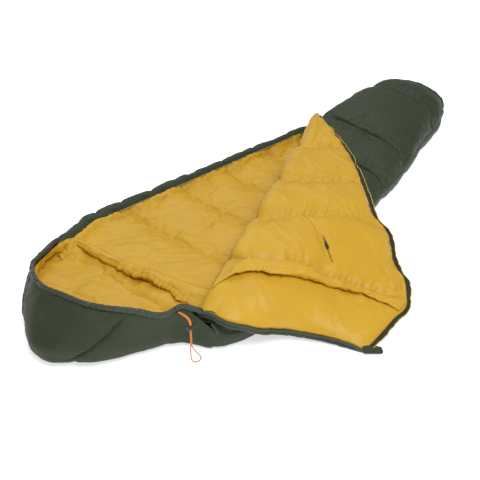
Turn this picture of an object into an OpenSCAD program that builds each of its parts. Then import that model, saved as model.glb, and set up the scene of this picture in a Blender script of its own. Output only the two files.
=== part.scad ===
// Mummy sleeping bag lying on its back, far-side zip undone, front panel folded back.
// Millimetres. +Y runs from the hood to the foot, +X towards the side without a zip, +Z up.

/* [Plan] */
// Distance from the origin to the tip of the hood
hood_tip = 1120; // [1080:5:1160]
// Distance from the origin to the foot end
foot_end = 1085; // [1050:5:1120]
// Half width at the shoulders
shoulder_half = 385; // [365:1:400]
// Half width at the neck
neck_half = 350; // [335:1:360]
// Half width where the zip ends
zip_end_half = 245; // [235:1:255]
// Half width at the feet
foot_half = 228; // [215:1:240]

/* [Loft] */
// Thickness of a quilted wall: shell, filling and lining
wall_t = 24; // [20:1:26]
// Thickness of one layer of cloth
cloth_t = 1.2; // [1:0.1:1.6]
// Clearance between two layers
layer_gap = 0.3; // [0.2:0.05:0.5]
// Height of the front panel's top over the body
cover_top = 112; // [108:1:114]
// Height of the hood's rim at its highest
hood_rise = 165; // [155:1:175]
// Height of the closed foot section
foot_rise = 188; // [170:1:195]

/* [Folded flap] */
// Thickness of the folded-back part of the front panel
flap_t = 21; // [18:1:23]
// Height of the fold line that it turns about
fold_z = 122; // [120:1:124]
// Width of a zip tape
tape_w = 15; // [12:1:18]
// Radius of a zip coil
coil_r = 1.5; // [1.2:0.1:1.8]

/* [Cord lock] */
// Radius of the lock's barrel
barrel_r = 7.5; // [7.5:0.1:8]
// Length of the lock's barrel
barrel_l = 21; // [21:0.5:23]
// Radius of the sliding plunger
plunger_r = 5; // [4.8:0.1:5]
// Travel of the plunger
plunger_travel = 4; // [3:0.5:4]
// Radius of the drawcord
cord_r = 1.5; // [1.4:0.1:1.6]

/* [Hidden] */

shell_color = "#2f3a26";
lining_color = "#b98a25";
fill_color = "#e8e6dc";
tape_color = "#1b1c1a";
coil_color = "#c9a53a";
cord_color = "#d9822b";
metal_color = "#5a5c5e";

// Layer depths, from the outer face of the shell to the inner face of the lining
shell_in = cloth_t;
fill_out = cloth_t + layer_gap;
fill_in = wall_t - cloth_t - layer_gap;
lining_out = wall_t - cloth_t;

neck_y = -760;
shoulder_y = -620;
zip_end_y = 500;
corner_r = 46;
lip_r = 40;
steps = 14;

// ---------- shared geometry ----------

function unit(v) = v / norm(v);
function mix(a, b, t) = a + (b - a) * t;
function steps_between(a, b, n) = [for (k = [0 : n]) mix(a, b, k / n)];
function on_arc(c, r, a) = c + r * [cos(a), sin(a)];

// Half width of the bag at a station
function half(y) = lookup(y, [[neck_y, neck_half], [shoulder_y, shoulder_half],
    [zip_end_y, zip_end_half], [700, 235], [1000, foot_half], [foot_end, foot_half - 60]]);

// A profile moved by d to its left-hand side, which is the inside of the bag
function inward(profile, d) = [for (i = [0 : len(profile) - 1])
    let (a = profile[max(i - 1, 0)], b = profile[min(i + 1, len(profile) - 1)], t = unit(b - a))
    profile[i] + d * [-t[1], t[0]]];

function strip(a, b, c, d) = [[a, b, c], [a, c, d]];

// Closed solid between an outer grid and an inner grid of the same size
module layer(outer, inner, wrap = false, closed_end = false) {
    n = len(outer);
    m = len(outer[0]);
    k = n * m;
    cols = wrap ? m : m - 1;
    function a(i, j) = i * m + (j % m);
    function b(i, j) = k + a(i, j);
    last = n - 1;
    faces = concat(
        [for (i = [0 : n - 2], j = [0 : cols - 1])
            each strip(a(i, j), a(i, j + 1), a(i + 1, j + 1), a(i + 1, j))],
        [for (i = [0 : n - 2], j = [0 : cols - 1])
            each strip(b(i, j), b(i + 1, j), b(i + 1, j + 1), b(i, j + 1))],
        [for (j = [0 : cols - 1]) each strip(a(0, j + 1), a(0, j), b(0, j), b(0, j + 1))],
        closed_end
            ? [[for (j = [0 : m - 1]) a(last, j)], [for (j = [m - 1 : -1 : 0]) b(last, j)]]
            : [for (j = [0 : cols - 1])
                each strip(a(last, j), a(last, j + 1), b(last, j + 1), b(last, j))],
        wrap ? [] : [for (i = [0 : n - 2])
            each strip(a(i, 0), a(i + 1, 0), b(i + 1, 0), b(i, 0))],
        wrap ? [] : [for (i = [0 : n - 2])
            each strip(a(i + 1, m - 1), a(i, m - 1), b(i, m - 1), b(i + 1, m - 1))]);
    polyhedron(concat([for (r = outer) each r], [for (r = inner) each r]), faces);
}

function round_section(rx, rz, n = 8) = [for (k = [0 : n - 1]) [rx * cos(360 * k / n), rz * sin(360 * k / n)]];
function flat_section(w, t) = [[w / 2, -t / 2], [w / 2, t / 2], [-w / 2, t / 2], [-w / 2, -t / 2]];

function ring(p, t, section, up_ref) = let (s = unit(cross(t, up_ref)), up = cross(s, t))
    [for (q = section) p + s * q[0] + up * q[1]];
function rings(path, section, up_ref) = [for (i = [0 : len(path) - 1])
    ring(path[i], unit(path[min(i + 1, len(path) - 1)] - path[max(i - 1, 0)]), section, up_ref)];

// Closed solid of one section carried along a path
module sweep(path, section, up_ref = [0, 0, 1]) {
    r = rings(path, section, up_ref);
    n = len(r);
    m = len(section);
    faces = concat(
        [for (i = [0 : n - 2], j = [0 : m - 1])
            each strip(i * m + j, i * m + (j + 1) % m, (i + 1) * m + (j + 1) % m, (i + 1) * m + j)],
        [[for (j = [m - 1 : -1 : 0]) j]],
        [[for (j = [0 : m - 1]) (n - 1) * m + j]]);
    polyhedron([for (q = r) each q], faces);
}

// Tube of one section carried along a path, with a smaller section taken out
module sweep_tube(path, section, inner_section, up_ref = [0, 0, 1]) {
    layer(rings(path, section, up_ref), rings(path, inner_section, up_ref), wrap = true);
}

// ---------- base: back panel with its rolled far edge ----------

base_front = neck_y + 5;
base_stations = steps_between(base_front, zip_end_y, steps);
seam_z = 60;

function base_profile(w) = concat(
    [for (a = [130 : 35 : 270]) on_arc([-w + lip_r - 6, lip_r], lip_r, a)],
    [for (x = [-0.5, 0, 0.5]) [x * w, 0]],
    [for (a = [-90 : 30 : 0]) on_arc([w - corner_r, corner_r], corner_r, a)],
    [[w, seam_z - 0.2]]);

function base_grid(d) = [for (y = base_stations)
    [for (p = inward(base_profile(half(y)), d)) [p[0], y, p[1]]]];

module base_shell() { color(shell_color) layer(base_grid(0), base_grid(shell_in)); }
module base_fill() { color(fill_color) layer(base_grid(fill_out), base_grid(fill_in)); }
module base_lining() { color(lining_color) layer(base_grid(lining_out), base_grid(wall_t)); }

// ---------- cover: the half of the front panel that stays down ----------

fold_start = [250, neck_y];
fold_stop = [-230, zip_end_y];
fold_dir = unit(fold_stop - fold_start);
fold_out = [-fold_dir[1], fold_dir[0]] * -1;
function fold_x(y) = mix(fold_start[0], fold_stop[0], (y - neck_y) / (zip_end_y - neck_y));

function cover_profile(w, f) = concat(
    [[w, seam_z + 0.2]],
    [for (a = [0 : 25 : 75]) on_arc([w - corner_r, cover_top - corner_r], corner_r, a)],
    [for (t = [0.1, 0.4, 0.7, 1]) [mix(w - corner_r, f + 3, t), cover_top]]);

function cover_grid(d) = [for (y = base_stations)
    [for (p = inward(cover_profile(half(y), fold_x(y)), d)) [p[0], y, p[1]]]];

module cover_shell() { color(shell_color) layer(cover_grid(0), cover_grid(shell_in)); }
module cover_fill() { color(fill_color) layer(cover_grid(fill_out), cover_grid(fill_in)); }
module cover_lining() { color(lining_color) layer(cover_grid(lining_out), cover_grid(wall_t)); }

// ---------- foot: closed tube with an end panel ----------

foot_front = zip_end_y + 2;
foot_stations = [foot_front, 600, 700, 800, 900, 1000, foot_end - 35, foot_end];
function foot_height(y) = lookup(y, [[foot_front, 128], [600, 158], [700, 172], [900, foot_rise],
    [1000, foot_rise], [foot_end - 35, 165], [foot_end, 120]]);
function foot_low(y) = lookup(y, [[foot_end - 35, 0], [foot_end, 28]]);

// One ring: an oval resting on a flat bottom, drawn in by d
function foot_ring(y, d) = let (w = half(y) - d, h = foot_height(y), low = foot_low(y), squat = 0.8)
    [for (k = [0 : 19]) let (a = 360 * k / 20, c = cos(a), s = sin(a),
        z = s > 0 ? h * 0.42 + h * 0.58 * pow(s, squat) : h * 0.42 - h * 0.42 * pow(-s, 0.45))
        [w * sign(c) * pow(abs(c), 0.8), y, mix(low + d, h - d, z / h)]];
function foot_grid(d) = [for (y = foot_stations)
    let (r = foot_ring(y, d)) [for (p = r) [p[0], y == foot_end ? y - d : y, p[2]]]];

module foot_shell() { color(shell_color) layer(foot_grid(0), foot_grid(shell_in), true, true); }
module foot_fill() { color(fill_color) layer(foot_grid(fill_out), foot_grid(fill_in), true, true); }
module foot_lining() { color(lining_color) layer(foot_grid(lining_out), foot_grid(wall_t), true, true); }

// ---------- hood: bowl with a rim that rises from the far side to the near side ----------

hood_centre = [-17, neck_y - 15];
hood_lean = 50;
hood_half = 323;
rim_lean = 48;
wall_lean = 16;
function hood_outline(a) = [hood_centre[0] - hood_lean * sin(a) + hood_half * sign(cos(a)) * pow(abs(cos(a)), 1.2),
    neck_y - (hood_tip + neck_y) * pow(sin(a), 1.1)];
function rim_z(a) = lookup(a, [[0, 110], [15, 140], [30, 158], [60, hood_rise], [90, 160], [120, 140],
    [150, 100], [180, 85]]);

// Profile at one bearing, as depth from the outline and height, from the rim down to the centre
function hood_profile(a) = let (z = rim_z(a), k = (z - seam_z) / (hood_rise - seam_z),
    reach = norm(hood_outline(a) - hood_centre))
    concat([[rim_lean * k, z], [wall_lean * k, mix(seam_z, z, 0.5)], [0, seam_z]],
        [for (b = [180 : 30 : 270]) on_arc([corner_r, corner_r], corner_r, b)],
        [[reach * 0.45, 0], [reach - 20, 0]]);
function hood_point(a, p) = let (o = hood_outline(a), g = unit(hood_centre - o))
    [o[0] + g[0] * p[0], o[1] + g[1] * p[0], p[1]];
hood_bearings = steps_between(0.01, 179.99, 18);
function hood_grid(d) = [for (a = hood_bearings) [for (p = inward(hood_profile(a), d)) hood_point(a, p)]];

module hood_shell() { color(shell_color) layer(hood_grid(0), hood_grid(shell_in)); }
module hood_fill() { color(fill_color) layer(hood_grid(fill_out), hood_grid(fill_in)); }
module hood_lining() { color(lining_color) layer(hood_grid(lining_out), hood_grid(wall_t)); }

// Drawcord channel along the rim
hem_r = 7;
hem_lift = 2;
channel_r = 3;
function hem_point(a) = let (p = hood_profile(a), up = unit(p[0] - p[1]), q = inward(p, wall_t / 2)[0])
    hood_point(a, q + up * (hem_r + hem_lift));
hem_path = [for (a = steps_between(7, 162, 24)) hem_point(a)];

module hood_hem() {
    color(shell_color) sweep_tube(hem_path, round_section(hem_r, hem_r), round_section(channel_r, channel_r));
}
module hood_drawcord() { color(cord_color) sweep(hem_path, round_section(2, 2)); }

// ---------- drawcord, its eyelet and the cord lock ----------

cord_x = 298;
cord_y = -839;
strand_gap = 2;
lock_z = 108;
// Free drawcord: out of the eyelet, down through the lock, round the end loop and back
cord_route = [[255, -841, 139], [262, -841, 139], [272, -841, 139], [282, -841, 138], [290, -841, 135],
    [295, -841, 130], [298, -841, 123], [298, -841, 108], [298, -841, 90], [298, -841, 70],
    [298, -841, 48], [299, -844, 34], [302, -847, 22], [306, -850, 12], [312, -852, 5], [319, -850, 3],
    [324, -843, 3], [325, -835, 3], [322, -828, 3], [316, -824, 4], [309, -825, 9], [303, -829, 18],
    [300, -833, 28], [298, -837, 40], [298, -837, 54], [298, -837, 72], [298, -837, 90],
    [298, -837, 108], [298, -837, 123], [295, -837, 130], [290, -837, 135], [282, -837, 138],
    [272, -837, 139], [262, -837, 139], [255, -837, 139]];

module hood_cord() { color(cord_color) sweep(cord_route, round_section(cord_r, cord_r), [0.5, 0.7, 0.5]); }

eyelet_x = 253;
eyelet_r = 7;
eyelet_hole_r = 5.2;
eyelet_z = 139;
module hood_eyelet() {
    color(metal_color) translate([eyelet_x, cord_y, eyelet_z]) rotate([0, 90, 0]) difference() {
        cylinder(r = eyelet_r, h = 1.6, $fn = 48);
        translate([0, 0, -1]) cylinder(r = eyelet_hole_r, h = 4, $fn = 48);
    }
}

// The lock's own frame: its axis lies along Y and the cord crosses it along Z
module at_lock() { translate([cord_x, cord_y, lock_z]) children(); }
barrel_floor = 1.2;
bore_r = plunger_r + 0.06;
cord_hole_r = cord_r + 0.6;
plunger_l = 19;
cord_room = 0.05;

module lock_barrel() {
    color(tape_color) at_lock() difference() {
        rotate([-90, 0, 0]) translate([0, 0, -barrel_l / 2]) cylinder(r = barrel_r, h = barrel_l, $fn = 48);
        rotate([-90, 0, 0]) translate([0, 0, -barrel_l / 2 + barrel_floor])
            cylinder(r = bore_r, h = barrel_l, $fn = 48);
        for (s = [-1, 1]) translate([0, s * strand_gap, -barrel_r - 1])
            cylinder(r = cord_hole_r, h = 2 * barrel_r + 2, $fn = 32);
    }
}
plunger_start = -5;
module lock_plunger() {
    color(tape_color) at_lock() difference() {
        rotate([-90, 0, 0]) translate([0, 0, plunger_start]) union() {
            cylinder(r = plunger_r, h = plunger_l, $fn = 48);
            translate([0, 0, plunger_l]) cylinder(r = plunger_r - 0.6, h = 1, $fn = 48);
        }
        translate([-cord_hole_r, -strand_gap - cord_r - cord_room, -plunger_r - 1])
            cube([2 * cord_hole_r, 2 * (strand_gap + cord_r + cord_room) + plunger_travel, 2 * plunger_r + 2]);
    }
}
spring_room = barrel_l / 2 - barrel_floor + plunger_start;
module lock_spring() {
    turns = 4;
    pitch = (spring_room - 0.8) / (turns - 1);
    color(metal_color) at_lock() for (k = [0 : turns - 1])
        translate([0, -barrel_l / 2 + barrel_floor + 0.4 + k * pitch, 0]) rotate([90, 0, 0])
            rotate_extrude($fn = 36) translate([3.6, 0]) circle(r = 0.35, $fn = 16);
}

// ---------- back draft collar ----------

collar_y = -722;
collar_path = [for (x = steps_between(-298, 205, 14)) [x, collar_y - 6 * sin(x * 1.1), 50]];
module back_collar_cover() {
    color(lining_color) sweep_tube(collar_path, round_section(31, 24, 12), round_section(29.8, 22.8, 12));
}
module back_collar_fill() { color(fill_color) sweep(collar_path, round_section(29.5, 22.5, 12)); }
module back_collar_elastic() {
    color(tape_color) sweep([for (p = collar_path) p + [0, 0, 26.6]], round_section(2, 2));
}

// ---------- zips ----------

zip_z = 73;
zip_in = 28;
coil_gap = 0.3;
function zip_line(y, inset) = [-half(y) + inset, y, zip_z];
back_zip_stations = [neck_y + 20, -680, shoulder_y, -60, zip_end_y - 2];
module back_zip_tape() {
    color(tape_color) sweep([for (y = back_zip_stations) zip_line(y, zip_in - coil_r - coil_gap - tape_w / 2)],
        flat_section(tape_w, 1));
}
module back_zip_coil() {
    color(coil_color) sweep([for (y = back_zip_stations) zip_line(y, zip_in)], round_section(coil_r, coil_r));
}
foot_zip_stations = [520, 600, 700, 800, 900];
foot_zip_out = 1.2;
function foot_zip_line(y, out) = [-half(y) - out, y, zip_z];
module foot_zip_tape() {
    color(tape_color) sweep([for (y = foot_zip_stations) foot_zip_line(y, foot_zip_out)], flat_section(1, 24));
}
module foot_zip_coil() {
    color(coil_color) sweep([for (y = foot_zip_stations) foot_zip_line(y, foot_zip_out + 2.6)],
        round_section(coil_r, 2.4));
}
module zip_bottom_stop() {
    color(metal_color) translate(foot_zip_line(908, foot_zip_out + 5) - [0, 3, 7]) cube([4, 6, 14]);
}

// A coil-zip slider in its own frame: the coil runs along Y through the origin
module slider_body() {
    difference() {
        union() {
            translate([-7, -11, -4]) cube([14, 22, 8.4]);
            for (s = [-1, 1]) translate([s * 3.1 - 1, -3, 4]) cube([2, 6, 5]);
            translate([-3.6, 0, 7]) rotate([0, 90, 0]) cylinder(r = 1, h = 7.2, $fn = 32);
        }
        translate([-8, -12, -1.9]) cube([10.4, 24, 3.8]);
    }
}
module slider_puller() {
    difference() {
        translate([0, 0, 7]) union() {
            rotate([0, 90, 0]) translate([0, 0, -1.7]) cylinder(r = 2, h = 3.4, $fn = 32);
            translate([-1.7, -8, -0.8]) cube([3.4, 8, 1.6]);
            translate([-4, -34, -0.8]) cube([8, 27, 1.6]);
        }
        translate([-3, 0, 7]) rotate([0, 90, 0]) cylinder(r = 1.06, h = 6, $fn = 32);
        translate([-2, -31, 4]) cube([4, 8, 6]);
    }
}
taper = atan((shoulder_half - zip_end_half) / (zip_end_y - shoulder_y));
slider_y = 430;
module at_zip() { translate(zip_line(slider_y, zip_in)) rotate([0, 0, -taper]) children(); }
module zip_slider() { color(metal_color) at_zip() slider_body(); }
module zip_puller() { color(metal_color) at_zip() slider_puller(); }

// ---------- hang loops and small trim ----------

loop_r = 11;
loop_t = 1.6;
loop_w = 10;
loop_x = 100;
loop_z = 72;
module hang_loops() {
    color(tape_color) for (s = [-1, 1])
        translate([s * loop_x - loop_w / 2, foot_end + layer_gap, loop_z]) rotate([90, 0, 90])
        linear_extrude(loop_w) difference() {
            union() {
                square([loop_r, 2 * loop_r]);
                translate([loop_r, loop_r]) circle(r = loop_r, $fn = 48);
            }
            translate([loop_t, loop_t]) square([loop_r - loop_t, 2 * (loop_r - loop_t)]);
            translate([loop_r, loop_r]) circle(r = loop_r - loop_t, $fn = 48);
        }
}
label_stations = [-735, -710, -685];
function label_grid(d) = [for (y = label_stations) let (p = inward(base_profile(half(y)), d))
    [for (j = [0 : 2]) [p[j][0], y, p[j][1]]]];
module side_label() { color("#d9d4c8") layer(label_grid(-1), label_grid(-0.3)); }

function patch_grid(d) = [for (a = steps_between(144, 156, 3)) let (p = inward(hood_profile(a), d))
    [for (j = [1 : 3]) hood_point(a, p[j])]];
module tab_landing_patch() { color(tape_color) layer(patch_grid(-1.8), patch_grid(-0.3)); }

// ---------- flap: the folded-back corner of the front panel ----------

// Edge of the flap from the neck corner round to the end of the zip, by fraction of the fold line
flap_edge = [[0, 660, -535], [0.12, 655, -400], [0.22, 640, -290], [0.32, 590, -190], [0.42, 500, -105],
    [0.52, 420, -10], [0.6, 330, 60], [0.7, 210, 170], [0.8, 110, 270], [0.9, -20, 390], [1, -180, 490]];
function edge_at(u) = [lookup(u, [for (e = flap_edge) [e[0], e[1]]]), lookup(u, [for (e = flap_edge) [e[0], e[2]]])];
fold_margin = 14;
function fold_at(u) = mix(fold_start, fold_stop, mix(0.02, 1, u)) + fold_out * fold_margin;

// Height of the flap's underside, by distance outside the bag's near edge
function underside(x, y) = lookup(x - half(y), [[-1000, fold_z + 2], [-50, fold_z], [-10, fold_z - 4],
    [20, 108], [60, 80], [120, 45], [200, 18], [280, 6], [420, 3]]);
function flap_point(u, v, lift) = let (p = mix(fold_at(u), edge_at(u), v))
    [p[0], p[1], underside(p[0], p[1]) + lift];
function flap_grid(lift, u0 = 0, u1 = 0.94, nu = 14, v0 = 0, v1 = 1, nv = 10) =
    [for (u = steps_between(u0, u1, nu)) [for (v = steps_between(v0, v1, nv)) flap_point(u, v, lift)]];

module flap_shell() { color(shell_color) layer(flap_grid(0), flap_grid(cloth_t)); }
module flap_fill() { color(fill_color) layer(flap_grid(fill_out), flap_grid(flap_t - fill_out)); }
module flap_lining() { color(lining_color) layer(flap_grid(flap_t - cloth_t), flap_grid(flap_t)); }

// Binding along the neck edge
module neck_hem() {
    path = [for (v = steps_between(0.02, 0.99, 12)) flap_point(0, v, flap_t / 2 + 0.5)
        + [0.35, -0.94, 0] * 5.6];
    color(shell_color) sweep(path, flat_section(10, flap_t));
}

edge_stations = steps_between(0.02, 0.93, 20);
function edge_path(out, lift) = [for (u = edge_stations)
    let (p = flap_point(u, 1, lift), o = unit(edge_at(u + 0.01) - edge_at(u - 0.01)))
    p + [o[1], -o[0], 0] * out];
module flap_zip_tape() { color(tape_color) sweep(edge_path(tape_w / 2 + 1.5, flap_t / 2), flat_section(tape_w, 1)); }
module flap_zip_coil() {
    color(coil_color) sweep(edge_path(tape_w + 2 + coil_r, flap_t / 2), round_section(coil_r, coil_r));
}

collar_from = 0.13;
collar_to = 0.24;
function collar_bulge(t, most) = most * pow(sin(180 * mix(0.08, 0.92, t)), 0.5);
function collar_grid(lift, bulge) = [for (k = [0 : 6]) [for (v = steps_between(0.04, 0.97, 12))
    flap_point(mix(collar_from, collar_to, k / 6), v, flap_t + lift + collar_bulge(k / 6, bulge))]];
collar_lift = 6;
collar_t = 16;
module front_collar_fill() {
    color(fill_color) layer(collar_grid(collar_lift, 0), collar_grid(collar_lift, collar_t));
}
module front_collar_cover() {
    color(lining_color) layer(collar_grid(collar_lift + layer_gap, collar_t),
        collar_grid(collar_lift + layer_gap + cloth_t, collar_t));
}
module front_collar_elastic() {
    color(tape_color) sweep([for (v = steps_between(0.05, 0.96, 12))
        flap_point(collar_from - 0.01, v, flap_t + collar_lift)], round_section(2, 2));
}

// Hook tab at the flap's corner
module hook_tab() {
    color(shell_color) translate([682, -560, 10]) linear_extrude(2.5) hull() {
        square([26, 70]);
        translate([24, 62]) circle(r = 8, $fn = 24);
    }
}

// ---------- inner pocket on the flap ----------

pocket_start = [350, -288, 143];
pocket_stop = [422, -339, 105];
pocket_run = pocket_stop - pocket_start;
pocket_len = norm(pocket_run);
pocket_yaw = atan2(-pocket_run[0], pocket_run[1]);
pocket_pitch = atan2(pocket_run[2], norm([pocket_run[0], pocket_run[1]]));
pocket_scale = 0.7;
pocket_lift = 1;
module along_pocket(t) {
    translate(mix(pocket_start, pocket_stop, t)) rotate([pocket_pitch, 0, pocket_yaw]) children();
}
module pocket_bag() {
    color(lining_color) layer(flap_grid(flap_t + pocket_lift, 0.3, 0.46, 4, 0.35, 0.62, 5),
        flap_grid(flap_t + pocket_lift + cloth_t, 0.3, 0.46, 4, 0.35, 0.62, 5));
}
module pocket_zip_tape() {
    color(tape_color) along_pocket(0) translate([-11 - coil_r * pocket_scale - 0.2, 0, -0.4])
        cube([11, pocket_len, 0.8]);
}
module pocket_zip_coil() {
    color(tape_color) along_pocket(0) rotate([-90, 0, 0]) cylinder(r = coil_r * pocket_scale, h = pocket_len, $fn = 24);
}
module pocket_slider() { color(metal_color) along_pocket(0.4) scale(pocket_scale) slider_body(); }
module pocket_puller() { color(tape_color) along_pocket(0.4) scale(pocket_scale) slider_puller(); }

// ---------- nodes ----------

base_shell();
base_fill();
base_lining();
cover_shell();
cover_fill();
cover_lining();
foot_shell();
foot_fill();
foot_lining();
hood_shell();
hood_fill();
hood_lining();
hood_hem();
hood_drawcord();
hood_eyelet();
hood_cord();
back_collar_cover();
back_collar_fill();
back_collar_elastic();
back_zip_tape();
back_zip_coil();
foot_zip_tape();
foot_zip_coil();
zip_bottom_stop();
hang_loops();
side_label();
tab_landing_patch();
flap_shell();
flap_fill();
flap_lining();
neck_hem();
flap_zip_tape();
flap_zip_coil();
front_collar_cover();
front_collar_fill();
front_collar_elastic();
hook_tab();
pocket_bag();
pocket_zip_tape();
pocket_zip_coil();
zip_slider();
zip_puller();
pocket_slider();
pocket_puller();
lock_barrel();
lock_plunger();
lock_spring();
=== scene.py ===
"""Looks of a mummy sleeping bag: quilted cloth, draft collars, zips, drawcord and trim on the CAD part.

Metres. +Y runs from the hood to the foot, +X towards the side without a zip, +Z up.
"""
import math

import bpy
import numpy as np
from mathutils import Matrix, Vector


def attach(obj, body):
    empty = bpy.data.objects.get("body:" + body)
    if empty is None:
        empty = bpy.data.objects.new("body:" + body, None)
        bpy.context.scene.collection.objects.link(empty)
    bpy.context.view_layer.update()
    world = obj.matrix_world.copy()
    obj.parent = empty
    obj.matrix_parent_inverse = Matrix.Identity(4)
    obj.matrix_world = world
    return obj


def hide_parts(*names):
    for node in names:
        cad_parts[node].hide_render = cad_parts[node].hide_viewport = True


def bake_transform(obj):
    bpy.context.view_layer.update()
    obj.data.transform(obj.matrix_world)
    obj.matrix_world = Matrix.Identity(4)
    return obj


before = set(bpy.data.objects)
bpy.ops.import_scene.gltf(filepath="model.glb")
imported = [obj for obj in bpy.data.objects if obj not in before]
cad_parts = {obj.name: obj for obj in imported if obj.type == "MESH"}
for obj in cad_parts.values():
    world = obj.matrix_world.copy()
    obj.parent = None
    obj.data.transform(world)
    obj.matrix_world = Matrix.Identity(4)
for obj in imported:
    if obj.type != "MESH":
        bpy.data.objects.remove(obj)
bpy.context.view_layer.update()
scene = bpy.context.scene

# ---------- small maths ----------


def mix(a, b, t):
    return a + (b - a) * t


def smooth(a, b, x):
    """0 before a, 1 after b, and an even slope between."""
    t = np.clip((np.asarray(x, float) - a) / (b - a), 0, 1)
    return t * t * (3 - 2 * t)


def curve(knots):
    """Smooth curve through rows of (parameter, value, ...). Returns a function of an array."""
    rows = np.array(knots, float)
    t, v = rows[:, 0], rows[:, 1:]
    slope = np.gradient(v, t, axis=0)

    def at(x):
        x = np.clip(np.asarray(x, float), t[0], t[-1])
        i = np.clip(np.searchsorted(t, x, side="right") - 1, 0, len(t) - 2)
        h = (t[i + 1] - t[i])[..., None]
        s = ((x - t[i]))[..., None] / h
        ends = (1 + 2 * s) * (1 - s) ** 2 * v[i] + s * s * (3 - 2 * s) * v[i + 1]
        out = ends + h * s * (1 - s) * ((1 - s) * slope[i] - s * slope[i + 1])
        return out[..., 0] if v.shape[1] == 1 else out

    return at


def noise(x, y, seed=0):
    """Smooth random values from -1 to 1, one for each unit square of x and y."""
    x, y = np.broadcast_arrays(np.asarray(x, float), np.asarray(y, float))
    i, j = np.floor(x).astype(np.int64), np.floor(y).astype(np.int64)
    fx, fy = x - i, y - j
    ux, uy = fx * fx * (3 - 2 * fx), fy * fy * (3 - 2 * fy)

    def corner(a, b):
        n = (a * 374761393 + b * 668265263 + (seed + 1) * 974634777) & 0xFFFFFFFF
        n = ((n ^ (n >> 13)) * 1274126177) & 0xFFFFFFFF
        return ((n ^ (n >> 16)) & 0xFFFF) / 32767.5 - 1

    low = mix(corner(i, j), corner(i + 1, j), ux)
    high = mix(corner(i, j + 1), corner(i + 1, j + 1), ux)
    return mix(low, high, uy)


def creases(x, y, seed=0):
    """Ridged noise: sharp, branching folds, from 0 to 1."""
    return (1 - np.abs(noise(x, y, seed))) ** 3


def blurred(rows, width):
    """Rows averaged along their first axis over a Gaussian of that many rows."""
    k = np.arange(-3 * width, 3 * width + 1)
    w = np.exp(-0.5 * (k / width) ** 2)
    w /= w.sum()
    padded = np.concatenate([rows[:1].repeat(len(k) // 2, 0), rows, rows[-1:].repeat(len(k) // 2, 0)])
    return sum(w[n] * padded[n:n + len(rows)] for n in range(len(k)))


# ---------- plan of the bag, shared by every piece ----------

NECK, ZIP_END, FOOT_RING = -0.76, 0.5, 1.045
WALL = 0.024
CLOTH = 0.0012
HOOD_CENTRE = np.array([-0.01, -0.775])
ZIP_Z = 0.073

half_width = curve([(-0.775, 0.346), (-0.76, 0.35), (-0.62, 0.385), (-0.34, 0.35), (0.22, 0.28),
                    (0.5, 0.245), (0.7, 0.235),
                    (1.0, 0.228), (1.085, 0.17)])


def zip_x(y):
    """The open zip's coil line on the back panel, straight from the shoulder to the zip's end."""
    y = np.asarray(y, float)
    body = 0.385 - (np.maximum(y, -0.62) + 0.62) * 0.125
    return -np.where(y < -0.62, np.interp(y, [NECK, -0.62], [0.35, 0.385]), body) + 0.028


near_x = curve([(-0.80, 0.33), (-0.74, 0.365), (-0.69, 0.385), (-0.62, 0.392), (-0.4, 0.372), (-0.2, 0.342),
                (0.0, 0.312),
                (0.2, 0.287), (0.33, 0.272), (0.5, 0.243), (0.66, 0.205), (0.8, 0.182), (0.95, 0.158),
                (1.045, 0.12)])
far_x = curve([(0.4, -0.262), (0.5, -0.247), (0.65, -0.238), (0.87, -0.232), (1.0, -0.222), (1.045, -0.2)])
roll_radius = curve([(-0.8, 0.024), (-0.6, 0.0255), (-0.35, 0.0235), (0.0, 0.0195), (0.5, 0.016)])
top_z = curve([(-0.8, 0.108), (0.2, 0.112), (0.4, 0.122), (0.5, 0.14), (0.6, 0.158), (0.72, 0.174),
               (0.87, 0.182),
               (0.97, 0.172), (1.045, 0.145)])

FOLD_START = np.array([0.25, NECK])
FOLD_STOP = np.array([-0.23, ZIP_END])
FOLD_RUN = FOLD_STOP - FOLD_START
FOLD_LENGTH = math.hypot(*FOLD_RUN)
FOLD_OUT = np.array([FOLD_RUN[1], -FOLD_RUN[0]]) / FOLD_LENGTH


def fold_point(t, r):
    """Plan point at fraction t of the fold line, r towards the near side of it."""
    t, r = np.asarray(t, float)[..., None], np.asarray(r, float)[..., None]
    return FOLD_START + FOLD_RUN * t + FOLD_OUT * r


def fold_x(y):
    return FOLD_START[0] + FOLD_RUN[0] * (np.asarray(y) - NECK) / (ZIP_END - NECK)


# Hood, by bearing from the near shoulder round the crown to the far shoulder
hood_outline = curve([(0, 0.33), (5, 0.285), (10, 0.262), (23, 0.25), (34, 0.25), (46, 0.267), (60, 0.3),
                      (73, 0.335),
                      (85, 0.35), (95, 0.346), (105, 0.335), (116, 0.322), (128, 0.32), (149, 0.328),
                      (160, 0.338),
                      (173, 0.366), (180, 0.375)])
hood_rim = curve([(0, 0.3), (5, 0.285), (10, 0.268), (21, 0.268), (30, 0.252), (44, 0.24), (56, 0.236),
                  (72, 0.234),
                  (90, 0.232), (113, 0.256), (130, 0.272), (148, 0.3), (164, 0.31), (180, 0.335)])
hood_rim_z = curve([(0, 0.112), (9, 0.142), (16, 0.144), (25, 0.139), (38, 0.155), (60, 0.163), (90, 0.16),
                    (115, 0.145), (135, 0.125),
                    (150, 0.105), (165, 0.092), (180, 0.082)])


def hood_point(bearing, r, z):
    a = np.radians(bearing)
    return np.stack([HOOD_CENTRE[0] + r * np.cos(a), HOOD_CENTRE[1] - r * np.sin(a), z + 0 * a], -1)


def end_slant(p):
    """The foot end leans: its far side reaches further than its near side."""
    p = p.copy()
    p[..., 1] -= 0.14 * smooth(0.8, 1.05, p[..., 1]) * (p[..., 0] + 0.05)
    return p


# ---------- mesh helpers ----------


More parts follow.
